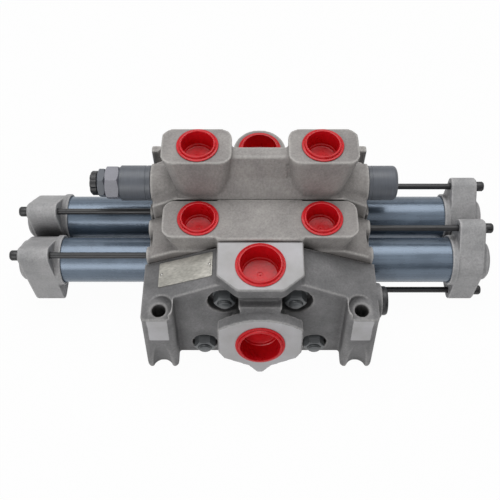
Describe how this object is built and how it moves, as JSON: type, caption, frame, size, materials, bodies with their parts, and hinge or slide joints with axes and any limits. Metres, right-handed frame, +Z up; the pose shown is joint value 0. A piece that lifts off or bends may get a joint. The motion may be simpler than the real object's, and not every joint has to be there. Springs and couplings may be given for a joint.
{
  "type": "hydraulic directional control valve bank",
  "caption": "Pilot-operated two-spool hydraulic directional control valve bank with spring tubes, end caps, red port plugs and mounting feet.",
  "frame": {"origin": "middle of the four mounting holes on the feet's bottom face", "axes": "+X along the spools to the end with the plain make-up cap, +Y from the footed front section to the rear section, +Z up"},
  "size_m": [0.472, 0.2169, 0.1632],
  "materials": {
    "casting_paint": "matte",
    "cap_paint": "matte",
    "tube_paint": "satin",
    "dark_steel": "satin",
    "black_bolt": "satin",
    "bright_steel": "satin",
    "red_plastic": "gloss",
    "nitrile": "matte",
    "plate_metal": "satin"
  },
  "bodies": {
    "valve_body": {"front_section": "casting_paint", "middle_section": "casting_paint", "rear_section": "casting_paint", "upper_tie_rods": "dark_steel", "lower_tie_rods": "dark_steel", "tie_rod_washers": "dark_steel", "tie_rod_nuts": "dark_steel", "front_joint_seals": "nitrile", "rear_joint_seals": "nitrile", "cap_bolts": "black_bolt", "load_check_plugs": "dark_steel", "relief_body": "dark_steel", "relief_spring": "bright_steel", "relief_adjuster": "black_bolt", "relief_lock_nut": "bright_steel", "makeup_cap": "dark_steel", "makeup_spring": "bright_steel", "nameplate": "plate_metal", "nameplate_pins": "plate_metal", "side_plug": "black_bolt", "top_port_plug": "red_plastic", "tilted_port_plug": "red_plastic", "rear_port_plug": "red_plastic", "middle_load_check_spring": "bright_steel", "middle_left_spring": "bright_steel", "middle_left_tube": "tube_paint", "middle_left_cap": "cap_paint", "middle_left_port_plug": "red_plastic", "middle_right_spring": "bright_steel", "middle_right_tube": "tube_paint", "middle_right_cap": "cap_paint", "middle_right_port_plug": "red_plastic", "rear_load_check_spring": "bright_steel", "rear_left_spring": "bright_steel", "rear_left_tube": "tube_paint", "rear_left_cap": "cap_paint", "rear_left_port_plug": "red_plastic", "rear_right_spring": "bright_steel", "rear_right_tube": "tube_paint", "rear_right_cap": "cap_paint", "rear_right_port_plug": "red_plastic"},
    "middle_spool_set": {"middle_spool": "bright_steel", "middle_spring_seats": "bright_steel", "middle_seat_screws": "black_bolt"},
    "rear_spool_set": {"rear_spool": "bright_steel", "rear_spring_seats": "bright_steel", "rear_seat_screws": "black_bolt"},
    "middle_load_check": {"middle_load_check": "bright_steel"},
    "rear_load_check": {"rear_load_check": "bright_steel"},
    "relief_poppet": {"relief_poppet": "bright_steel"},
    "makeup_poppet": {"makeup_poppet": "bright_steel"}
  },
  "joints": [
    {"name": "middle_spool_slide", "type": "slide", "parent": "valve_body", "child": "middle_spool_set", "axis": [1, 0, 0], "range_m": [-0.009, 0.009], "stiffness_N_per_m": 9000, "deforming": ["middle_left_spring", "middle_right_spring"]},
    {"name": "rear_spool_slide", "type": "slide", "parent": "valve_body", "child": "rear_spool_set", "axis": [1, 0, 0], "range_m": [-0.009, 0.009], "stiffness_N_per_m": 9000, "deforming": ["rear_left_spring", "rear_right_spring"]},
    {"name": "middle_load_check_slide", "type": "slide", "parent": "valve_body", "child": "middle_load_check", "axis": [0, 0, -1], "range_m": [0, 0.003], "stiffness_N_per_m": 1200, "springref_m": -0.004, "deforming": ["middle_load_check_spring"]},
    {"name": "rear_load_check_slide", "type": "slide", "parent": "valve_body", "child": "rear_load_check", "axis": [0, 0, -1], "range_m": [0, 0.003], "stiffness_N_per_m": 1200, "springref_m": -0.004, "deforming": ["rear_load_check_spring"]},
    {"name": "relief_poppet_slide", "type": "slide", "parent": "valve_body", "child": "relief_poppet", "axis": [-1, 0, 0], "range_m": [0, 0.003], "stiffness_N_per_m": 30000, "springref_m": -0.004, "deforming": ["relief_spring"]},
    {"name": "makeup_poppet_slide", "type": "slide", "parent": "valve_body", "child": "makeup_poppet", "axis": [1, 0, 0], "range_m": [0, 0.004], "stiffness_N_per_m": 800, "springref_m": -0.004, "deforming": ["makeup_spring"]}
  ]
}
